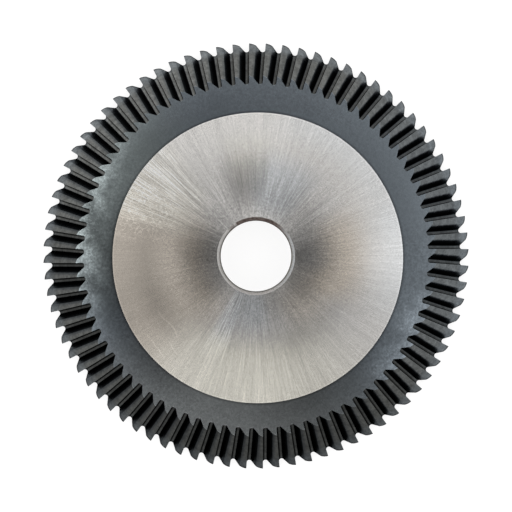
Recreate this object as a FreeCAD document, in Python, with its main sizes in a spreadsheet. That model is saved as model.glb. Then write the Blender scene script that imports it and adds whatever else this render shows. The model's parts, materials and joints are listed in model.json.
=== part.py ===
import FreeCAD, Part
import math
import os
import Sketcher
from FreeCAD import Placement, Rotation, Vector

# A key cutting wheel in one piece of tool steel, with teeth on its rim and side round a bore.
# Millimetres. +Z runs along the bore towards the toothed front face, and the origin is the
# middle of the back face, on which the wheel lies.

# Driving dimensions: name, number and what it measures
SIZES = [
    ("TipDiameter", 66.7, "across the tooth tips"),
    ("Thickness", 7.3, "from the ground back face to the ground front face"),
    ("BoreDiameter", 11.11, "bore for the machine's arbor"),
    ("BoreChamfer", 0.4, "leg of the 45 degree chamfer at both ends of the bore"),
    ("FaceRise", 0.15, "height of each ground face above the dark ring round it"),
    ("FaceShiftX", 0.26, "the front face is ground a little off centre: shift along X"),
    ("FaceShiftY", -0.29, "the same shift along Y"),
    ("RingWidth", 5.39, "flat dark ring between a ground face and the flank"),
    ("FlankAngle", 45, "front flank against the plane of the wheel, degrees"),
    ("NoseWidth", 1.17, "cutting edge at the rim, measured along the bore"),
    ("ToothCount", 80, "teeth round the rim"),
    ("ToothDepth", 1.38, "from the tip circle down to the bottom of a gash"),
    ("GulletRadius", 0.41, "round at the bottom of a gash"),
    ("RakeLean", 1, "lean of the cutting face from the radius through its tip, degrees"),
    ("BackSlope", 48, "slope of a tooth's back against the tip circle, degrees"),
    ("HeelDrop", 0.37, "how far the back end of a land lies below the tip circle"),
    ("LandRadius", 2.2, "curve of the relieved land behind each tip"),
    ("GashSkew", 1.6, "turn of the side gashes from the radius through the tip, degrees"),
    ("ToothingStock", 0.2, "stock on the rim of the blank, which the gashes cut away"),
    ("TipAngle", 1.88, "where the first tip stands, anticlockwise from +X, degrees"),
]

# What follows from the driving dimensions
TIP_RADIUS = "Sizes.TipDiameter / 2"
BLANK_RADIUS = f"({TIP_RADIUS} + Sizes.ToothingStock)"
CLEAR_RADIUS = f"({TIP_RADIUS} + 2 * Sizes.ToothingStock)"
RING_HEIGHT = "(Sizes.Thickness - Sizes.FaceRise)"
NOSE_TOP = "(Sizes.FaceRise + Sizes.NoseWidth)"
FLANK_HEIGHT = f"({RING_HEIGHT} - {NOSE_TOP})"
FLANK_WIDTH = f"({FLANK_HEIGHT} / tan(Sizes.FlankAngle))"
FACE_RADIUS = f"({TIP_RADIUS} - {FLANK_WIDTH} - Sizes.RingWidth)"
PITCH = "360 / Sizes.ToothCount"

# Point numbers on an edge of a sketch, and the numbers of the sketch's own axes, -1 and -2
START, END, CENTRE = range(1, 4)
X_AXIS, Y_AXIS = range(-1, -3, -1)
ORIGIN = (X_AXIS, START)

document = FreeCAD.newDocument("CuttingWheel")


def make_sheet():
    """The spreadsheet that holds every driving dimension under its own name."""
    sheet = document.addObject("Spreadsheet::Sheet", "Sizes")
    for row, (name, number, meaning) in enumerate(SIZES, start=1):
        sheet.set(f"A{row}", name)
        sheet.set(f"B{row}", str(number))
        sheet.set(f"C{row}", meaning)
        sheet.setAlias(f"B{row}", name)
    document.recompute()


def origin_feature(body, role):
    """One of the body's own axes or planes."""
    return next(item for item in body.Origin.OriginFeatures if item.Role == role)


def add_sketch(body, name, role, height=None):
    """An empty sketch on one of the body's planes, raised to a height if one is given."""
    sketch = body.newObject("Sketcher::SketchObject", name)
    sketch.AttachmentSupport = [(origin_feature(body, role), "")]
    sketch.MapMode = "FlatFace"
    if height:
        sketch.setExpression("AttachmentOffset.Base.z", height)
    document.recompute()
    return sketch


def number_of(sketch, expression):
    """What an expression gives with the numbers that the sheet holds now."""
    return float(sketch.evalExpression(expression))


def relate(sketch, kind, *geometry):
    """A relation without a number, such as a tangency."""
    sketch.addConstraint(Sketcher.Constraint(kind, *geometry))


def drive(sketch, name, kind, geometry, expression):
    """A dimension that follows an expression. Angles are in degrees."""
    number = number_of(sketch, expression)
    if kind == "Angle":
        number = math.radians(number)
    index = sketch.addConstraint(Sketcher.Constraint(kind, *geometry, number))
    sketch.renameConstraint(index, name)
    sketch.setExpression(f"Constraints.{name}", expression)


def add_lines(sketch, corners):
    """A closed outline of straight edges through the corners, in order."""
    first = sketch.GeometryCount
    for corner, following in zip(corners, corners[1:] + corners[:1]):
        sketch.addGeometry(Part.LineSegment(corner, following), False)
    for edge in range(len(corners)):
        following = (edge + 1) % len(corners)
        relate(sketch, "Coincident", first + edge, END, first + following, START)


def add_blank(body):
    """The turned blank: a disc with a flat back, a narrow nose and a sloping front flank."""
    sketch = add_sketch(body, "BlankSection", "XZ_Plane")
    rim = number_of(sketch, BLANK_RADIUS)
    inner = rim - number_of(sketch, FLANK_WIDTH)
    low = number_of(sketch, "Sizes.FaceRise")
    high = number_of(sketch, RING_HEIGHT)
    nose_top = number_of(sketch, NOSE_TOP)
    add_lines(sketch, [
        Vector(0, low, 0),
        Vector(rim, low, 0),
        Vector(rim, nose_top, 0),
        Vector(inner, high, 0),
        Vector(0, high, 0),
    ])
    back, nose, front_flank, front_ring, axis = range(5)
    relate(sketch, "Horizontal", back)
    relate(sketch, "Horizontal", front_ring)
    relate(sketch, "Vertical", nose)
    relate(sketch, "Vertical", axis)
    relate(sketch, "PointOnObject", axis, START, Y_AXIS)
    drive(sketch, "BackHeight", "DistanceY", (*ORIGIN, back, START), "Sizes.FaceRise")
    drive(sketch, "RingHeight", "DistanceY", (*ORIGIN, front_ring, START), RING_HEIGHT)
    drive(sketch, "BlankRadius", "DistanceX", (*ORIGIN, nose, START), BLANK_RADIUS)
    drive(sketch, "NoseWidth", "DistanceY", (nose, START, nose, END), "Sizes.NoseWidth")
    drive(sketch, "FlankAngle", "Angle", (front_flank,), "180 - Sizes.FlankAngle")
    blank = body.newObject("PartDesign::Revolution", "Blank")
    blank.Profile = sketch
    blank.ReferenceAxis = (origin_feature(body, "Z_Axis"), [""])
    blank.Angle = 360
    document.recompute()


def add_circle(sketch, radius, shift_x=None, shift_y=None):
    """A driven circle, at the origin or shifted from it."""
    centre = Vector(0, 0, 0)
    if shift_x:
        centre = Vector(number_of(sketch, shift_x), number_of(sketch, shift_y), 0)
    sketch.addGeometry(Part.Circle(centre, Vector(0, 0, 1), number_of(sketch, radius)), False)
    drive(sketch, "Radius", "Radius", (0,), radius)
    if shift_x:
        drive(sketch, "ShiftX", "DistanceX", (*ORIGIN, 0, CENTRE), shift_x)
        drive(sketch, "ShiftY", "DistanceY", (*ORIGIN, 0, CENTRE), shift_y)
    else:
        relate(sketch, "Coincident", *ORIGIN, 0, CENTRE)


def add_ground_faces(body):
    """The bright faces that the wheel is clamped by, each a low step above its ring."""
    front_sketch = add_sketch(body, "FrontFaceCircle", "XY_Plane", RING_HEIGHT)
    add_circle(front_sketch, FACE_RADIUS, "Sizes.FaceShiftX", "Sizes.FaceShiftY")
    front = body.newObject("PartDesign::Pad", "FrontFace")
    front.Profile = front_sketch
    front.setExpression("Length", "Sizes.FaceRise")
    back_sketch = add_sketch(body, "BackFaceCircle", "XY_Plane", "Sizes.FaceRise")
    add_circle(back_sketch, FACE_RADIUS)
    back = body.newObject("PartDesign::Pad", "BackFace")
    back.Profile = back_sketch
    back.Reversed = True
    back.setExpression("Length", "Sizes.FaceRise")
    document.recompute()


def add_bore(body):
    """The bore through the wheel, with a chamfer at each end."""
    sketch = add_sketch(body, "BoreCircle", "XY_Plane")
    add_circle(sketch, "Sizes.BoreDiameter / 2")
    bore = body.newObject("PartDesign::Pocket", "Bore")
    bore.Profile = sketch
    bore.Type = "ThroughAll"
    bore.Midplane = True
    document.recompute()
    radius = number_of(sketch, "Sizes.BoreDiameter / 2")
    rims = [
        f"Edge{index}"
        for index, edge in enumerate(bore.Shape.Edges, start=1)
        if isinstance(edge.Curve, Part.Circle) and math.isclose(edge.Curve.Radius, radius)
    ]
    chamfer = body.newObject("PartDesign::Chamfer", "BoreChamfers")
    chamfer.Base = (bore, rims)
    chamfer.setExpression("Size", "Sizes.BoreChamfer")
    document.recompute()


def along(degrees):
    """The unit vector at an angle from the sketch's X axis."""
    return Vector(math.cos(math.radians(degrees)), math.sin(math.radians(degrees)), 0)


def add_arc(sketch, centre, radius, first_angle, last_angle):
    """An arc that runs anticlockwise between two angles in degrees."""
    circle = Part.Circle(centre, Vector(0, 0, 1), radius)
    ends = math.radians(first_angle), math.radians(last_angle)
    sketch.addGeometry(Part.ArcOfCircle(circle, *ends), False)


def add_gash_edges(sketch):
    """The edges of a gash, placed where the sketch's dimensions will hold them."""
    tip = number_of(sketch, TIP_RADIUS)
    overrun = number_of(sketch, CLEAR_RADIUS) - tip
    lean = number_of(sketch, "Sizes.RakeLean")
    slope = number_of(sketch, "Sizes.BackSlope")
    pitch = number_of(sketch, PITCH)
    first_tip = along(0) * tip
    next_tip = along(pitch) * tip

    gullet = number_of(sketch, "Sizes.GulletRadius")
    inward = along(180 - lean)
    drop = number_of(sketch, "Sizes.ToothDepth") - gullet + gullet * math.sin(math.radians(lean))
    rake_foot = first_tip + inward * (drop / math.cos(math.radians(lean)))
    gullet_centre = rake_foot + along(90 - lean) * gullet
    slope_foot = gullet_centre + along(180 - slope) * gullet

    uphill = along(90 - slope)
    start = slope_foot.dot(uphill)
    heel_radius = tip - number_of(sketch, "Sizes.HeelDrop")
    climb = math.sqrt(start ** 2 - slope_foot.Length ** 2 + heel_radius ** 2) - start
    heel = slope_foot + uphill * climb

    land = number_of(sketch, "Sizes.LandRadius")
    chord = next_tip - heel
    inner_side = Vector(-chord.y, chord.x, 0).normalize()
    land_centre = (heel + next_tip) * 0.5 + inner_side * math.sqrt(land ** 2 - chord.Length ** 2 / 4)
    from_centre = heel - land_centre
    heel_angle = math.degrees(math.atan2(from_centre.y, from_centre.x))
    turn = math.degrees(2 * math.asin(chord.Length / 2 / land) + overrun / land)
    land_end = land_centre + along(heel_angle + turn) * land
    outer_end = land_end + along(pitch) * overrun
    outer_start = first_tip - inward * overrun

    sketch.addGeometry(Part.LineSegment(outer_start, rake_foot), False)
    add_arc(sketch, gullet_centre, gullet, 180 - slope, 270 - lean)
    sketch.addGeometry(Part.LineSegment(slope_foot, heel), False)
    add_arc(sketch, land_centre, land, heel_angle, heel_angle + turn)
    sketch.addGeometry(Part.LineSegment(land_end, outer_end), False)
    sketch.addGeometry(Part.LineSegment(outer_end, outer_start), False)
    sketch.addGeometry(Part.LineSegment(Vector(0, 0, 0), next_tip), True)
    sketch.addGeometry(Part.Point(first_tip), True)


def draw_gash(sketch):
    """The outline that one gash cuts away, from a tip to the tip of the next tooth.

    It runs down the cutting face of the first tooth, round the gullet, up the back of the
    next tooth and over its land, and closes outside the blank.
    """
    add_gash_edges(sketch)
    rake, gullet_arc, back, land_arc, out, close, radius_line, tip_point = range(8)
    relate(sketch, "Tangent", rake, END, gullet_arc, END)
    relate(sketch, "Tangent", back, START, gullet_arc, START)
    relate(sketch, "Coincident", back, END, land_arc, START)
    relate(sketch, "Coincident", land_arc, END, out, START)
    relate(sketch, "Coincident", out, END, close, START)
    relate(sketch, "Coincident", close, END, rake, START)
    relate(sketch, "Coincident", radius_line, START, *ORIGIN)
    relate(sketch, "PointOnObject", radius_line, END, land_arc)
    relate(sketch, "PointOnObject", tip_point, START, X_AXIS)
    relate(sketch, "PointOnObject", tip_point, START, rake)
    relate(sketch, "Parallel", out, radius_line)

    drive(sketch, "TipRadius", "DistanceX", (*ORIGIN, tip_point, START), TIP_RADIUS)
    drive(sketch, "NextTipRadius", "Distance", (radius_line,), TIP_RADIUS)
    drive(sketch, "Pitch", "Angle", (radius_line,), PITCH)
    drive(sketch, "RakeLean", "Angle", (rake,), "180 - Sizes.RakeLean")
    drive(sketch, "GulletRadius", "Radius", (gullet_arc,), "Sizes.GulletRadius")
    drive(sketch, "GulletCentre", "DistanceX", (*ORIGIN, gullet_arc, CENTRE),
          f"{TIP_RADIUS} - Sizes.ToothDepth + Sizes.GulletRadius")
    drive(sketch, "BackSlope", "Angle", (back,), "90 - Sizes.BackSlope")
    drive(sketch, "HeelRadius", "Distance", (*ORIGIN, back, END), f"{TIP_RADIUS} - Sizes.HeelDrop")
    drive(sketch, "LandRadius", "Radius", (land_arc,), "Sizes.LandRadius")
    drive(sketch, "LandOverrun", "Distance", (radius_line, END, land_arc, END),
          "2 * Sizes.ToothingStock")
    drive(sketch, "OuterEnd", "Distance", (*ORIGIN, out, END), CLEAR_RADIUS)
    drive(sketch, "OuterStart", "Distance", (*ORIGIN, rake, START), CLEAR_RADIUS)


def add_gash(body, name, sketch, direction, length):
    """A cut that carries the gash outline along a direction given by three expressions."""
    cut = body.newObject("PartDesign::Pocket", name)
    cut.Profile = sketch
    cut.UseCustomVector = True
    cut.AlongSketchNormal = False
    for axis, expression in zip("xyz", direction):
        cut.setExpression(f"Direction.{axis}", expression)
    cut.setExpression("Length", length)
    cut.Refine = False
    document.recompute()
    return cut


def add_teeth(body):
    """One gash down the front flank and across the nose, repeated round the rim."""
    outline = add_sketch(body, "GashOutline", "XY_Plane", NOSE_TOP)
    draw_gash(outline)
    document.recompute()
    flank_direction = (
        "-cos(Sizes.FlankAngle) * cos(Sizes.GashSkew)",
        "cos(Sizes.FlankAngle) * sin(Sizes.GashSkew)",
        "sin(Sizes.FlankAngle)",
    )
    flank_length = f"{FLANK_HEIGHT} / sin(Sizes.FlankAngle)"
    flank_gash = add_gash(body, "FlankGash", outline, flank_direction, flank_length)
    nose_gash = add_gash(body, "NoseGash", outline, ("0", "0", "-1"), NOSE_TOP)
    teeth = body.newObject("PartDesign::PolarPattern", "Teeth")
    teeth.Originals = [flank_gash, nose_gash]
    teeth.Axis = (origin_feature(body, "Z_Axis"), [""])
    teeth.Angle = 360
    teeth.setExpression("Occurrences", "Sizes.ToothCount")
    teeth.Refine = False
    body.Tip = teeth
    document.recompute()


def check(body):
    """Stops if any object failed, or if the wheel isn't one sound solid."""
    for item in document.Objects:
        if "Invalid" in item.State or "Error" in item.State:
            raise RuntimeError(f"{item.Name} failed: {item.State}")
    shape = body.Shape
    if shape.isNull() or not shape.isValid() or len(shape.Solids) != 1:
        raise RuntimeError("the wheel is not one valid solid")


def build_wheel():
    """The whole wheel, turned so that its first tip stands where the sheet says."""
    make_sheet()
    wheel = document.addObject("PartDesign::Body", "CuttingWheel")
    wheel.Label = "cutting_wheel"
    add_blank(wheel)
    add_ground_faces(wheel)
    add_bore(wheel)
    add_teeth(wheel)
    tip_angle = document.Sizes.TipAngle
    wheel.Placement = Placement(Vector(0, 0, 0), Rotation(Vector(0, 0, 1), tip_angle))
    document.recompute()
    check(wheel)
    return wheel


wheel = build_wheel()
os.makedirs("parts", exist_ok=True)
wheel.Shape.exportStep(f"parts/{wheel.Label}.step")
box = wheel.Shape.BoundBox
print(f"{wheel.Label}: {wheel.Shape.Volume:.1f} mm3, {len(wheel.Shape.Faces)} faces, "
      f"{box.XLength:.2f} x {box.YLength:.2f} x {box.ZLength:.2f} mm")
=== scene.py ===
# %% [markdown]
# # A key cutting wheel
# This lesson dresses a small steel cutter for a key machine: a flat wheel with eighty saw-form
# teeth round its rim and a plain bore. The CAD model already holds its whole shape, so what is
# left is what the eye reads as steel: bright ground faces, black oxide on the rest, and the light.

# %% Load the wheel
import json
import math

import bpy
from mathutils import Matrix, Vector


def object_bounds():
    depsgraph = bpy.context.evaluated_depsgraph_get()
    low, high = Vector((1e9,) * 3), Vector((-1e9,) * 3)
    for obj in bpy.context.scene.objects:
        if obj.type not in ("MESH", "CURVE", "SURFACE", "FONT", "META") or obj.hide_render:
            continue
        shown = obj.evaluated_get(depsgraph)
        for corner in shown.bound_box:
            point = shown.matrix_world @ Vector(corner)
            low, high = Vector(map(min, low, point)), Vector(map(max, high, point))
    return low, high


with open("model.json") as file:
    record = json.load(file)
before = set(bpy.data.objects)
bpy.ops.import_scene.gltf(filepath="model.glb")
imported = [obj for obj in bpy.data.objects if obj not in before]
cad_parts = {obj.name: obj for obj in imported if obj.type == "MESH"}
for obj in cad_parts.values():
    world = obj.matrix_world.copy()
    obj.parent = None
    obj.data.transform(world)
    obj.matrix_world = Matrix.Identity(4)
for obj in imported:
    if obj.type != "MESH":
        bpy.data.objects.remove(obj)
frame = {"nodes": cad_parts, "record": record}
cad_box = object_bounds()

wheel = frame["nodes"]["cutting_wheel"]
print("wheel:", len(wheel.data.polygons), "faces, box from", cad_box[0][:], "to", cad_box[1][:])

# %% [markdown]
# ## Shader maths as arithmetic
# A finish is a sum of many small masks, and a node tree drawn by hand soon turns into a knot.
# So we wrap a socket in a class that knows how to add, multiply and divide. Every other node
# comes from one method that first sets its options and then fills its sockets.

# %% A socket that can be calculated with
class Signal:
    """What comes out of a node. Arithmetic on it adds Math nodes to the same recipe."""

    def __init__(self, recipe, socket):
        self.recipe = recipe
        self.socket = socket

    def output(self, name):
        """Another output of the same node."""
        return Signal(self.recipe, self.socket.node.outputs[name])

    def math(self, operation, *values):
        return self.recipe.add("ShaderNodeMath", {"operation": operation}, dict(enumerate(values)))

    def __abs__(self):
        return self.math("ABSOLUTE", self)

    def __add__(self, other):
        return self.math("ADD", self, other)

    def __radd__(self, other):
        return self.math("ADD", other, self)

    def __sub__(self, other):
        return self.math("SUBTRACT", self, other)

    def __rsub__(self, other):
        return self.math("SUBTRACT", other, self)

    def __mul__(self, other):
        return self.math("MULTIPLY", self, other)

    def __rmul__(self, other):
        return self.math("MULTIPLY", other, self)

    def __truediv__(self, other):
        return self.math("DIVIDE", self, other)

    def __rtruediv__(self, other):
        return self.math("DIVIDE", other, self)

    def __pow__(self, other):
        return self.math("POWER", self, other)

    def __rpow__(self, other):
        return self.math("POWER", other, self)


print("a socket now knows: abs, +, -, *, / and **")


# %% A node tree that is written like a recipe
class Recipe:
    """The node tree of one material or of the world."""

    def __init__(self, owner):
        owner.use_nodes = True
        self.tree = owner.node_tree
        self.tree.nodes.clear()

    def add(self, kind, settings=None, inputs=None, output=0):
        """A node: its settings are set first, then its sockets get their values or links."""
        node = self.tree.nodes.new(kind)
        for name, value in (settings or {}).items():
            setattr(node, name, value)
        for name, value in (inputs or {}).items():
            if isinstance(value, Signal):
                self.tree.links.new(value.socket, node.inputs[name])
            else:
                node.inputs[name].default_value = value
        return Signal(self, node.outputs[output]) if node.outputs else None


def grey(level):
    return (level, level, level, 1.0)


def fade(value, start, end):
    """0 at start, 1 at end, with soft shoulders. The start may be the larger number."""
    return value.recipe.add(
        "ShaderNodeMapRange",
        {"interpolation_type": "SMOOTHSTEP"},
        {"Value": value, "From Min": start, "From Max": end},
    )


def larger(first, second):
    return first.math("MAXIMUM", first, second)


def swing(noise):
    """A noise from 0 to 1 as a swing about 0."""
    return noise - 0.5


def mix(share, first, second):
    """The first colour at share 0, the second at share 1."""
    return share.recipe.add(
        "ShaderNodeMix", {"data_type": "RGBA"}, {0: share, 6: first, 7: second}, output=2
    )


def paint(colour, level):
    """The colour made lighter or darker: each of its three parts times the level."""
    return colour.recipe.add(
        "ShaderNodeVectorMath", {"operation": "SCALE"}, {"Vector": colour, "Scale": level}
    )


print("helpers for recipes: grey, fade, larger, swing, mix, paint")

# %% [markdown]
# ## Knowing where a point lies on the wheel
# The real wheel was made on machines that turn it, so every mark on it follows the bore's axis:
# the finish changes with the distance from the axis and with the height. We read both from
# Object coordinates, which stay with the steel when the part is moved, and work in millimetres.

# %% A point's place in millimetres
MM_PER_METRE = 1000


class Spot:
    """Where a shaded point lies: x, y and z in millimetres and the distance from the bore's axis."""

    def __init__(self, recipe):
        self.recipe = recipe
        self.place = recipe.add("ShaderNodeTexCoord", output="Object")
        axes = recipe.add("ShaderNodeSeparateXYZ", inputs={0: self.place})
        self.x, self.y, self.z = (axes.output(name) * MM_PER_METRE for name in "XYZ")
        self.radius = (self.x * self.x + self.y * self.y) ** 0.5
        self.east = self.x / self.radius
        self.north = self.y / self.radius

    def distance_from(self, x, y):
        across = self.x - x
        along = self.y - y
        return (across * across + along * along) ** 0.5

    def sector(self, degrees, half_width, edge=None):
        """1 in the middle of a sector of the wheel, 0 outside it. A small edge makes its sides hard."""
        angle = math.radians(degrees)
        nearness = self.east * math.cos(angle) + self.north * math.sin(angle)
        side = math.cos(math.radians(half_width))
        full = side + edge if edge else 1.0
        return fade(nearness, side, full)

    def patch(self, degrees, half_width, inner, outer, soft=2.5):
        """1 in a part of the wheel that has a direction, a width and two radii, 0 outside it."""
        band = fade(self.radius, inner - soft, inner + soft)
        band = band * fade(self.radius, outer + soft, outer - soft)
        return self.sector(degrees, half_width) * band

    def sectors(self, rows):
        """Sectors added up, from rows of direction, half width and strength."""
        total = 0.0
        for degrees, half_width, strength in rows:
            total = self.sector(degrees, half_width) * strength + total
        return total

    def patches(self, rows):
        """Patches added up, from rows of direction, half width, inner and outer radius, strength."""
        total = 0.0
        for degrees, half_width, inner, outer, strength in rows:
            total = self.patch(degrees, half_width, inner, outer) * strength + total
        return total

    def facing_round(self):
        """How far the surface faces anticlockwise round the axis: 1 if fully, -1 if the other way."""
        facing = self.recipe.add("ShaderNodeTexCoord", output="Normal")
        parts = self.recipe.add("ShaderNodeSeparateXYZ", inputs={0: facing})
        return parts.output("Y") * self.east - parts.output("X") * self.north


print("a spot measures in mm, with", MM_PER_METRE, "to the metre")

# %% [markdown]
# ## Three kinds of irregularity
# No surface of a used tool is even. Cloudy noise gives the grain of the skin, the level lines of
# such a noise give thin wandering curls, and noise drawn out along the radius gives the marks of
# the cup wheel that ground the faces. Each has a seed of its own, so no two lie on each other.

# %% Grain, curls and streaks
def noise_at(recipe, place, scale, detail, seed):
    return recipe.add(
        "ShaderNodeTexNoise",
        {"noise_dimensions": "4D"},
        {"Vector": place, "W": seed, "Scale": scale, "Detail": detail},
    )


def grain(spot, per_mm, detail=3, seed=0.0):
    """Cloudy noise, the same in all directions, from 0 to 1."""
    return noise_at(spot.recipe, spot.place, per_mm * MM_PER_METRE, detail, seed)


def curls(spot, per_mm, width=0.02, seed=0.0):
    """Thin wandering lines: the level lines of a noise."""
    return fade(abs(swing(grain(spot, per_mm, detail=2, seed=seed))), width, 0.0)


def streaks(spot, per_turn, per_mm, detail, seed=0.0):
    """Noise drawn out along the radius: so many streaks in a turn, and so many waves in a mm."""
    turns = per_turn / (2 * math.pi)
    stretched = spot.recipe.add(
        "ShaderNodeCombineXYZ",
        inputs={0: spot.east * turns, 1: spot.north * turns, 2: spot.radius * per_mm},
    )
    return noise_at(spot.recipe, stretched, 1.0, detail, seed)


print("irregular marks: grain, curls, streaks")

# %% [markdown]
# ## Ground steel
# The two clamping faces and the bore are ground after the wheel is blackened, which bares the
# steel. A grinding mark spreads light across itself and hardly along itself. The marks run
# outwards from the bore, so we give the metal a high anisotropy: Blender lays its wide side
# round the Z axis by default. Finer marks come from noise drawn out along the radius.

# %% The steel's colours
PLAIN_STEEL = (0.8, 0.78, 0.755, 1.0)
TAN_STEEL = (0.84, 0.76, 0.665, 1.0)
COOL_STEEL = (0.76, 0.78, 0.795, 1.0)
YELLOW_STEEL = (0.8, 0.772, 0.685, 1.0)
# Each area: direction and half width in degrees, inner and outer radius in mm, strength.
TAN_AREAS = [(192, 60, 8, 30, 1.1), (0, 36, 10, 16, 1.0), (322, 34, 7, 13, 0.7)]
COOL_AREAS = [
    (72, 28, 7, 15, 0.9),
    (266, 20, 5, 11, 1.0),
    (357, 30, 19, 30, 0.7),
    (246, 9, 5, 16, 0.7),
    (46, 44, 19, 30, 0.6),
]
# The yellowish areas low down and in the upper fan are a painted warm tint of the light.
YELLOW_AREAS = [(268, 62, 13, 30, 0.9), (147, 24, 11, 30, 0.5), (95, 16, 12, 18, 0.4)]


def face_tint(spot):
    """Plain steel with tan, cool and yellowish areas; the yellowish is mostly a painted warm tint of
    the light.
    """
    tint = mix(spot.patches(TAN_AREAS), PLAIN_STEEL, TAN_STEEL)
    tint = mix(spot.patches(COOL_AREAS), tint, COOL_STEEL)
    return mix(spot.patches(YELLOW_AREAS), tint, YELLOW_STEEL)


print("tinted areas:", len(TAN_AREAS), "tan,", len(COOL_AREAS), "cool,", len(YELLOW_AREAS), "yellowish")

# %% Marks of grinding and handling, and a painted highlight
# How much each kind of mark swings the tone, and what it gains towards the bore.
FINE_STREAKS = 0.4
FINE_BY_THE_BORE = 1.4
BROAD_STREAKS = 0.25
THIN_LINES = 0.12
CURLS = 0.09
SPECKLE = 0.3
SPECKLE_BY_THE_BORE = 0.9
NEAR_THE_BORE = (17.0, 6.0)
# Where the marks are calmer: direction and half width in degrees, then radii in mm, and how much.
CALM_SECTORS = [(350, 60, 0.35), (195, 50, 0.5)]
CALM_AREAS = [(74, 66, 15, 30, 0.45)]
# The upper fan of painted highlight, a lower fan of brighter streaks, and flakes: direction and half
# width in degrees, then radii in mm.
PAINTED_HIGHLIGHT_FAN = (147, 19)
PAINTED_HIGHLIGHT_FAN_START = (9.0, 14.0)
LOWER_FAN = (246, 8, 4.0, 16.0)
FLAKED_AREA = (158, 18, 14.0, 22.0)
# Each scratch: direction in degrees, half its length in degrees, radius in mm, strength.
SCRATCHES = [(221, 7, 20.7, 0.15), (217, 9, 16.9, 0.2), (228, 5, 18.6, 0.12)]
SCRATCH_EDGE = 0.16
SCRATCH_CORE = 0.03
SCRATCH_WANDER = 3.0


def scratch_marks(spot):
    """Fine bright arcs from handling."""
    wander = swing(grain(spot, 0.15, detail=1, seed=12.0)) * SCRATCH_WANDER
    marks = 0.0
    for degrees, half_length, radius, strength in SCRATCHES:
        line = fade(abs(spot.radius + wander - radius), SCRATCH_EDGE, SCRATCH_CORE)
        marks = line * spot.sector(degrees, half_length, edge=0.004) * strength + marks
    return marks


def face_marks(spot, fine, broad, speckle):
    """How far all the marks together, with the upper fan's painted highlight, lift or lower the tone of
    the ground face.
    """
    lines = fade(abs(swing(streaks(spot, 420, 0.05, detail=1, seed=18.0))), 0.06, 0.0)
    near_bore = fade(spot.radius, *NEAR_THE_BORE)
    calm = 1 - spot.sectors(CALM_SECTORS) - spot.patches(CALM_AREAS)
    marks = swing(fine) * (FINE_STREAKS + near_bore * FINE_BY_THE_BORE)
    marks = (marks + swing(broad) * BROAD_STREAKS + (lines - 0.3) * THIN_LINES) * calm
    marks = marks + (curls(spot, 1.2, seed=13.0) - curls(spot, 1.6, seed=14.0)) * CURLS
    marks = marks + swing(speckle) * (SPECKLE + near_bore * SPECKLE_BY_THE_BORE)
    bright = fade(fine, 0.5, 0.62) * 0.5 + fade(broad, 0.45, 0.6) * 0.25
    # Painted highlight: the streaks in a fan to the upper left are lit up in the colour.
    painted_highlight_fan = spot.sector(*PAINTED_HIGHLIGHT_FAN, edge=0.03) * fade(spot.radius, *PAINTED_HIGHLIGHT_FAN_START)
    marks = marks + painted_highlight_fan * (bright * 0.58 + lines * 0.42 - 0.07)
    marks = marks + spot.patch(*LOWER_FAN) * (bright * 0.6 + lines * 0.3)
    flakes = spot.patch(*FLAKED_AREA, soft=2.0) * curls(spot, 1.4, width=0.035, seed=9.0)
    return marks + flakes * 0.5 + scratch_marks(spot)


print("marks of handling:", len(SCRATCHES), "scratches")

# %% The edge of the bore
BORE_MOUNT = next(mount for mount in frame["record"]["mounts"] if mount["name"] == "bore")
BORE_RADIUS = BORE_MOUNT["dims"]["r_mm"]
CHAMFER = 0.4
# Browns for painted shade on the upper side of the bore.
SHADE_BROWN = (0.11, 0.08, 0.072, 1.0)
PALER_SHADE_BROWN = (0.26, 0.22, 0.2, 1.0)


def bore_painted_shade(spot):
    """Painted shade on the upper side of the bore, in brown, with one lighter spot near its end."""
    lighter_spot = spot.sector(123.5, 2.6, edge=0.0008) * 0.8
    less_shade = spot.sector(12, 48) * 0.85 + spot.sector(136, 12, edge=0.008) * 0.45
    return spot.sector(80, 60, edge=0.12) * (1 - less_shade) * (1 - lighter_spot)


def with_bore_edge(spot, steel, speckle):
    """The steel's colour with the bore's bright chamfer and painted brown shade on its upper side."""
    chamfer = fade(spot.radius, BORE_RADIUS + CHAMFER + 0.02, BORE_RADIUS + CHAMFER - 0.04)
    bevel = paint(mix(spot.sector(0, 70), PLAIN_STEEL, COOL_STEEL), 0.8 + speckle * 0.4)
    brown = mix(curls(spot, 1.5, width=0.08, seed=16.0), SHADE_BROWN, PALER_SHADE_BROWN)
    steel = mix(chamfer, steel, bevel)
    return mix(chamfer * bore_painted_shade(spot), steel, paint(brown, 0.5 + speckle))


print("bore:", BORE_RADIUS, "mm in radius, chamfer", CHAMFER, "mm")

# %% The bright faces
FACE_RADIUS = 22.13
FACE_CENTRE = (0.26, -0.29)
# Each area of painted shade, painted light where the strength is below 0: direction and half width in
# degrees, inner and outer radius in mm, strength.
PAINTED_SHADE_AND_LIGHT_AREAS = [
    (352, 50, 5, 11, 0.24),
    (190, 44, 5, 11, 0.24),
    (192, 42, 15, 30, 0.42),
    (316, 44, 13, 30, 0.2),
    (98, 20, 9, 15, 0.26),
    (85, 50, 3, 7, -0.2),
    (258, 70, 4, 14, 0.15),
    (132, 22, 6, 14, -0.08),
    (50, 34, 6, 12, 0.1),
    (308, 36, 5, 15, 0.1),
    (55, 26, 12, 20, 0.07),
    (150, 20, 5, 10, 0.08),
    (216, 26, 12, 18, 0.1),
]
# Painted shade, darker towards the bore.
SHADE_PAINTED_BY_THE_BORE = 0.42
PAINTED_SHADE_SPAN = (21.0, 5.0)
# A painted highlight along the edge of the raised face.
EDGE_PAINTED_HIGHLIGHT = 0.15
STEEL_ROUGHNESS = 0.19
STEEL_ANISOTROPY = 0.9
GRINDING_DEPTH = 0.000005


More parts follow.
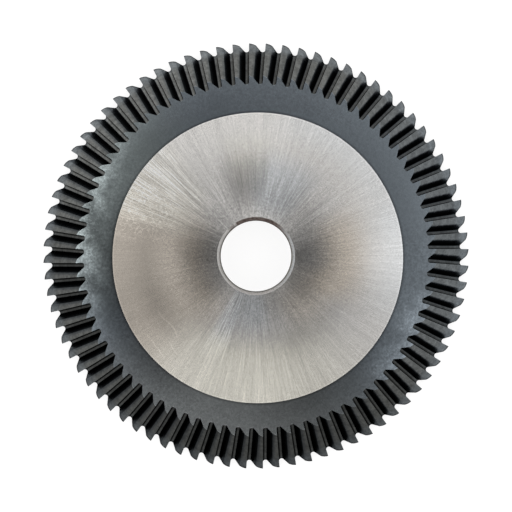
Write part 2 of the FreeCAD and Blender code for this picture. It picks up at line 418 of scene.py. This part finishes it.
def ground_steel(spot):
    fine = streaks(spot, 1000, 0.22, detail=4)
    broad = streaks(spot, 120, 0.12, detail=3, seed=3.0)
    speckle = grain(spot, 3.6, detail=3, seed=6.0)
    # Painted shade and light in the face's colour, in place of the reflections of its grinding marks.
    painted_shading = fade(spot.radius, *PAINTED_SHADE_SPAN) * SHADE_PAINTED_BY_THE_BORE + spot.patches(PAINTED_SHADE_AND_LIGHT_AREAS)
    tone = (1.0 - painted_shading) * (1.0 + face_marks(spot, fine, broad, speckle))
    # Painted highlight: a thin bright ring along the raised face's edge.
    edge = fade(spot.distance_from(*FACE_CENTRE), FACE_RADIUS - 0.3, FACE_RADIUS - 0.05)
    steel = paint(face_tint(spot), tone + edge * EDGE_PAINTED_HIGHLIGHT)
    normal = spot.recipe.add(
        "ShaderNodeBump",
        inputs={"Strength": 1.0, "Distance": GRINDING_DEPTH, "Height": fine * 0.7 + broad * 0.5},
    )
    return spot.recipe.add(
        "ShaderNodeBsdfPrincipled",
        inputs={
            "Base Color": with_bore_edge(spot, steel, speckle),
            "Metallic": 1.0,
            "Roughness": STEEL_ROUGHNESS + broad * 0.06,
            "Anisotropic": STEEL_ANISOTROPY,
            "Normal": normal,
        },
    )


print("ground face:", FACE_RADIUS, "mm round", FACE_CENTRE, "with", len(PAINTED_SHADE_AND_LIGHT_AREAS), "dull areas")

# %% [markdown]
# ## Black oxide
# A hot salt bath turns the skin of the steel into black iron oxide. It takes up nearly all the
# light that enters it and throws about a seventh back from its surface, so it looks grey where
# it mirrors something bright and truly black where it mirrors another tooth. A metal whose
# colour is a dark grey does just that, and lets us vary how much it throws back. A metal also
# turns white when seen at a slant, which oxide doesn't, so its Specular Tint is darkened too.

# %% The parts of the blackened skin
THICKNESS = cad_box[1][2] * MM_PER_METRE
FACE_RISE = 0.15
RING_HEIGHT = THICKNESS - FACE_RISE
CUTTING_EDGE = 1.17
NOSE_TOP = FACE_RISE + CUTTING_EDGE
TIP_RADIUS = max(math.hypot(*vertex.co[:2]) for vertex in wheel.data.vertices) * MM_PER_METRE
# Where each part starts and is full: radius and depth below the tips in mm, slope from -1 to 1.
RIM_BAND = (31.0, 32.4)
GULLET_DEPTH = (0.85, 1.25)
FLOOR_DEPTH = (0.9, 1.15)
LAND_DEPTH = (0.62, 0.3)
BACK_SLOPE = (-0.22, -0.5)
CUTTING_SLOPE = (0.1, 0.4)
UNEVEN_DEPTH = 0.3


class Skin:
    """The parts of the blackened skin, each 1 where a point belongs to it and 0 elsewhere."""

    def __init__(self, spot):
        front_ring = fade(spot.z, RING_HEIGHT - 0.1, RING_HEIGHT - 0.02)
        self.ring = larger(front_ring, fade(spot.z, FACE_RISE + 0.1, FACE_RISE + 0.02))
        self.flank = 1 - self.ring
        self.rim = fade(spot.radius, *RIM_BAND)
        # Where painted light falls: the lit side, and more of it in the upper left.
        self.painted_light_side = spot.sector(35, 115)
        self.upper_left = spot.sector(136, 48)
        self.find_gashes(spot)

    def find_gashes(self, spot):
        """The floor, the back and the cutting face of the gashes, by depth and by slope: where painted
        shade goes.
        """
        climb = larger(spot.z - NOSE_TOP, 0.0)
        depth = TIP_RADIUS - climb - spot.radius
        depth = depth + swing(grain(spot, 1.6, detail=2, seed=17.0)) * UNEVEN_DEPTH
        facing = spot.facing_round()
        gullet = fade(depth, *GULLET_DEPTH) * self.painted_light_side * 0.26
        back = fade(facing + self.painted_light_side * 0.06 - gullet, *BACK_SLOPE)
        back = back * (0.93 - self.rim * (0.35 + self.painted_light_side * 0.45))
        self.gash_back = back * (1 - spot.sector(10, 100) * fade(depth, *LAND_DEPTH))
        self.gash_floor = fade(depth, *FLOOR_DEPTH) * self.flank
        self.cutting_face = fade(facing + gullet, *CUTTING_SLOPE) * self.flank


print("ring and rim end, mm up:", round(RING_HEIGHT, 3), round(NOSE_TOP, 3))
print("tips, mm out:", round(TIP_RADIUS, 3))

# %% How much the ring throws back
RING_LEVEL = 0.165
LIGHTER_OUTWARD = 0.05
RING_SPAN = (22.0, 28.0)
# Each sector: direction and half width in degrees, and how much lighter it is.
RING_SECTORS = [
    (90, 65, 0.03),
    (260, 34, 0.05),
    (300, 40, -0.065),
    (118, 26, -0.035),
    (188, 26, -0.015),
]
# Each worn area: direction and half width in degrees, inner and outer radius in mm, strength.
WORN_AREAS = [(172, 30, 23.8, 34, 0.2), (330, 22, 24.5, 34, 0.16)]
FINGER_EDGE = (0.34, 0.56)
FLECK_EDGE = (0.42, 0.6)


def worn_fingers(spot):
    """Where the oxide is rubbed thin beside the teeth, in ragged fingers and curls."""
    fingers = fade(grain(spot, 0.3, detail=5, seed=2.0), *FINGER_EDGE)
    flecks = fade(grain(spot, 2.4, detail=5, seed=4.0), *FLECK_EDGE)
    fingers = fingers * (0.6 + flecks * 0.5)
    fingers = fingers + curls(spot, 1.0, width=0.03, seed=15.0) * 0.35
    by_the_teeth = spot.patch(168, 46, 25.8, 34, soft=1.8) * 0.28
    return (by_the_teeth + spot.patches(WORN_AREAS)) * fingers


def ring_level(spot, skin):
    outward = fade(spot.radius, *RING_SPAN)
    level = RING_LEVEL + outward * LIGHTER_OUTWARD + spot.sectors(RING_SECTORS)
    level = level - spot.sector(200, 55) * (1 - outward) * 0.08
    # The ring is made a little darker on the side of painted light.
    return level * (1 - skin.painted_light_side * 0.07) + worn_fingers(spot)


print("ring:", RING_LEVEL, "at its inner edge,", round(RING_LEVEL + LIGHTER_OUTWARD, 3), "by the teeth")

# %% How much the toothed flank throws back
FLANK_LEVEL = 0.105
FLANK_SECTORS = [(95, 80, 0.01), (274, 70, -0.055)]
# Heights in mm between which painted light makes the foot of the flank lighter.
FLANK_FOOT = (3.2, 1.8)
FOOT_PAINTED_LIGHT = 0.3
RIM_EDGE_DARKENING = 0.75
PATCHY = 1.3


def flank_level(spot, skin):
    level = FLANK_LEVEL + spot.sectors(FLANK_SECTORS)
    # Painted light on the lit side and in the upper left.
    level = level + skin.painted_light_side * 0.024 + skin.upper_left * 0.04
    # Painted light at the foot of the flank.
    level = level * (1 + fade(spot.z, *FLANK_FOOT) * FOOT_PAINTED_LIGHT)
    # A painted dark line along the rim's upper edge, standing in for a dark reflection.
    rim_edge = fade(spot.z, NOSE_TOP + 0.25, NOSE_TOP + 0.05)
    rim_edge = rim_edge * fade(spot.z, NOSE_TOP - 0.35, NOSE_TOP - 0.1)
    level = level * (1 - rim_edge * RIM_EDGE_DARKENING)
    return level * (1 + swing(grain(spot, 1.1, detail=4, seed=19.0)) * PATCHY)


def gash_shade(spot, skin):
    """What the gashes leave of the level: painted shade darkens their floors, backs and cutting faces,
    less on the side of painted light, on top of the dark they mirror.
    """
    floor = 0.6 - spot.sector(268, 70) * 0.3 - skin.upper_left * 0.45 - skin.painted_light_side * 0.2
    face = 0.8 - skin.painted_light_side * 0.5 - skin.upper_left * 0.35
    shade = (1 - skin.gash_floor * floor) * (1 - skin.gash_back)
    return shade * (1 - skin.cutting_face * face)


print("flank:", FLANK_LEVEL, "on the lands")

# %% The dark ring and teeth
BLUISH_BLACK = (0.87, 1.0, 1.12, 1.0)
OLIVE_BLACK = (1.02, 1.02, 0.94, 1.0)
GREENISH_BLACK = (0.91, 1.03, 0.99, 1.0)
ROUGH_SKIN = 1.2
DRIFT = 0.2
FACE_FOOT_PAINTED_SHADE = 0.4
OXIDE_ROUGHNESS = 0.2
OXIDE_BUMPS = 0.000004


def oxide_tint(spot, skin):
    """Bluish black, more olive on the flank and greenish in one part of the ring."""
    olive = skin.flank * (1 - skin.rim * 0.5) * (1 - skin.gash_back) * (0.8 - spot.sector(10, 60) * 0.4)
    # The lower part of the ring is tinted olive: a painted warm tint of the light.
    olive = olive + spot.sector(262, 62) * skin.ring * 0.55
    tint = mix(olive, BLUISH_BLACK, OLIVE_BLACK)
    return mix(spot.sector(160, 50) * skin.ring * 0.7, tint, GREENISH_BLACK)


def black_oxide(spot):
    skin = Skin(spot)
    speckle = grain(spot, 3.0, detail=4, seed=1.0)
    drift = grain(spot, 0.1, detail=2, seed=8.0)
    smoother = spot.sector(75, 75, edge=0.3) * 0.7 + spot.sector(275, 50) * 0.5
    rough = ROUGH_SKIN - smoother * skin.ring
    level = ring_level(spot, skin) * skin.ring + flank_level(spot, skin) * skin.flank
    level = level * (1 + swing(drift) * DRIFT + swing(speckle) * rough)
    # Painted shade on the ring at the foot of the raised face.
    face_foot = fade(spot.distance_from(*FACE_CENTRE), FACE_RADIUS + 0.5, FACE_RADIUS + 0.1)
    level = level * gash_shade(spot, skin) * (1 - face_foot * FACE_FOOT_PAINTED_SHADE)
    normal = spot.recipe.add(
        "ShaderNodeBump", inputs={"Strength": 1.0, "Distance": OXIDE_BUMPS, "Height": speckle}
    )
    return spot.recipe.add(
        "ShaderNodeBsdfPrincipled",
        inputs={
            "Base Color": paint(oxide_tint(spot, skin), level),
            "Specular Tint": grey(0.5),
            "Metallic": 1.0,
            "Roughness": OXIDE_ROUGHNESS + speckle * 0.06,
            "Normal": normal,
        },
    )


print("black oxide: bumps of", OXIDE_BUMPS * MM_PER_METRE, "mm")

# %% [markdown]
# ## Down in the bore
# Seen almost edge-on, even a dark metal mirrors nearly everything, and the bore would vanish
# against the floor. Its wall has a dull film of oil, so it gets a finish with no mirror at all.

# %% The bore's wall
CLEAN_WALL = (0.3, 0.29, 0.27, 1.0)
BROWN_WALL = (0.16, 0.12, 0.11, 1.0)
WALL_ROUGHNESS = 0.8


def oily_wall(spot):
    # Painted shade in brown on the wall's upper side.
    brown = bore_painted_shade(spot) * (0.55 + grain(spot, 0.6, seed=20.0) * 0.8)
    return spot.recipe.add(
        "ShaderNodeBsdfPrincipled",
        inputs={
            "Base Color": mix(brown, CLEAN_WALL, BROWN_WALL),
            "Roughness": WALL_ROUGHNESS,
            "Specular IOR Level": 0.0,
        },
    )


print("bore wall: from", CLEAN_WALL[:3], "to", BROWN_WALL[:3])

# %% [markdown]
# ## One material for the whole wheel
# The wheel is one piece of steel, so it gets one material. Masks say which of the three finishes
# a point has: bare steel on the raised faces and the bore's chamfer, the film of oil on the
# bore's wall, and black everywhere else.

# %% Put the three finishes together
def wheel_finish():
    material = bpy.data.materials.new("tool_steel_finish")
    recipe = Recipe(material)
    spot = Spot(recipe)
    front = fade(spot.z, RING_HEIGHT + 0.05, RING_HEIGHT + 0.08)
    back = fade(spot.z, FACE_RISE - 0.05, FACE_RISE - 0.08)
    back = back * fade(spot.radius, FACE_RADIUS + 0.05, FACE_RADIUS)
    bore = fade(spot.radius, BORE_RADIUS + CHAMFER + 0.2, BORE_RADIUS + CHAMFER + 0.1)
    bare = larger(larger(front, back), bore)
    wall = fade(spot.radius, BORE_RADIUS + 0.06, BORE_RADIUS + 0.03)
    steel = recipe.add(
        "ShaderNodeMixShader", inputs={0: bare, 1: black_oxide(spot), 2: ground_steel(spot)}
    )
    surface = recipe.add("ShaderNodeMixShader", inputs={0: wall, 1: steel, 2: oily_wall(spot)})
    recipe.add("ShaderNodeOutputMaterial", inputs={"Surface": surface})
    print("wheel finish:", len(recipe.tree.nodes), "nodes")
    return material


wheel.data.materials.clear()
wheel.data.materials.append(wheel_finish())

# %% [markdown]
# ## The floor
# The photograph has a plain white ground. A lit white plane would need more light than the wheel
# can take, so the camera, and the steel as a mirror, see the plane a little brighter than it is.
# A part of what they see is still its real shading, which keeps the wheel's shadow.

# %% A pale floor
FLOOR_HALF = 3.0
FLOOR_LIT = 0.8
FLOOR_SEEN = 0.28
FLOOR_GLOW = 0.86


def floor_finish():
    material = bpy.data.materials.new("pale_floor")
    recipe = Recipe(material)
    rays = recipe.add("ShaderNodeLightPath", output="Is Camera Ray")
    seen = larger(rays, rays.output("Is Glossy Ray"))
    seen = larger(seen, rays.output("Is Transmission Ray"))
    lit = recipe.add("ShaderNodeBsdfDiffuse", inputs={"Color": grey(FLOOR_LIT)})
    shaded = recipe.add("ShaderNodeBsdfDiffuse", inputs={"Color": grey(FLOOR_SEEN)})
    glow = recipe.add("ShaderNodeEmission", inputs={"Color": grey(1.0), "Strength": FLOOR_GLOW})
    shown = recipe.add("ShaderNodeAddShader", inputs={0: shaded, 1: glow})
    surface = recipe.add("ShaderNodeMixShader", inputs={0: seen, 1: lit, 2: shown})
    recipe.add("ShaderNodeOutputMaterial", inputs={"Surface": surface})
    return material


floor_mesh = bpy.data.meshes.new("floor")
corners = [(-1, -1), (1, -1), (1, 1), (-1, 1)]
floor_mesh.from_pydata([(x * FLOOR_HALF, y * FLOOR_HALF, 0) for x, y in corners], [], [(0, 1, 2, 3)])
floor_mesh.materials.append(floor_finish())
floor = bpy.data.objects.new("floor", floor_mesh)
bpy.context.scene.collection.objects.link(floor)
print("floor:", 2 * FLOOR_HALF, "m square")

# %% [markdown]
# ## The light
# Polished steel is only as interesting as the room it mirrors. The room here is a pale tent, a
# little dimmer at the horizon, with a dark slot straight overhead for the camera and its stand.
# The face mirrors the cloth on either side of the slot, and the grinding marks spread that into a
# bow of light. A lamp would add hard white spots, so the cloth alone lights the wheel.

# %% A pale tent with a slot for the camera
HORIZON_LIGHT = 0.68
OVERHEAD_GAIN = 0.34
SLOT_DIMMING = 0.93
LEFT_DIMMING = 0.25
# On a flat ceiling one unit up: where the slot's two sides and its ends start and are full.
SLOT_LEFT = (-0.08, -0.04)
SLOT_RIGHT = (0.085, 0.05)
SLOT_ENDS = (1.2, 0.4)
# The dimmer cloth to its left, in the same way.
DIM_ACROSS = [(-0.5, -0.3), (-0.02, -0.06)]
DIM_AHEAD = [(0.06, 0.0), (-0.5, -0.2)]
LOWEST_RISE = 0.05

world = bpy.data.worlds.new("tent")
bpy.context.scene.world = world
tent = Recipe(world)
direction = tent.add("ShaderNodeTexCoord", output="Generated")
axes = tent.add("ShaderNodeSeparateXYZ", inputs={0: direction})
east, north, up = (axes.output(name) for name in "XYZ")
# Where a direction meets that ceiling, across and ahead of the point overhead.
rise = larger(up, LOWEST_RISE)
across = east / rise
ahead = north / rise
slot = fade(across, *SLOT_LEFT) * fade(across, *SLOT_RIGHT) * fade(abs(ahead), *SLOT_ENDS)
left = fade(across, *DIM_ACROSS[0]) * fade(across, *DIM_ACROSS[1])
left = left * fade(ahead, *DIM_AHEAD[0]) * fade(ahead, *DIM_AHEAD[1])
cloth = fade(up, 0.0, 0.7) * OVERHEAD_GAIN + HORIZON_LIGHT
strength = cloth * (1 - slot * SLOT_DIMMING) * (1 - left * LEFT_DIMMING)
backdrop = tent.add("ShaderNodeBackground", inputs={"Color": grey(1.0), "Strength": strength})
tent.add("ShaderNodeOutputWorld", inputs={"Surface": backdrop})
print("tent:", HORIZON_LIGHT, "at the horizon,", round(HORIZON_LIGHT + OVERHEAD_GAIN, 3), "overhead")

# %% [markdown]
# ## The camera
# The photograph looks straight down on the wheel, with its centre in the middle of the picture.
# The raised face looks a little larger than its share of the rim, which tells how near the
# camera was: about 200 mm above it. That distance and the rim's size in the picture set the lens.

# %% Look straight down
CAMERA_HEIGHT = 0.2104
LENS_MM = 93.76
SENSOR_MM = 36
NEAREST_SEEN = 0.01

camera = bpy.data.objects.new("camera", bpy.data.cameras.new("camera"))
camera.data.lens = LENS_MM
camera.data.sensor_width = SENSOR_MM
camera.data.clip_start = NEAREST_SEEN
camera.location = (0, 0, CAMERA_HEIGHT)
bpy.context.scene.collection.objects.link(camera)
bpy.context.scene.camera = camera
bpy.context.scene.view_settings.view_transform = "Standard"
print("camera:", CAMERA_HEIGHT, "m up, lens", LENS_MM, "mm")
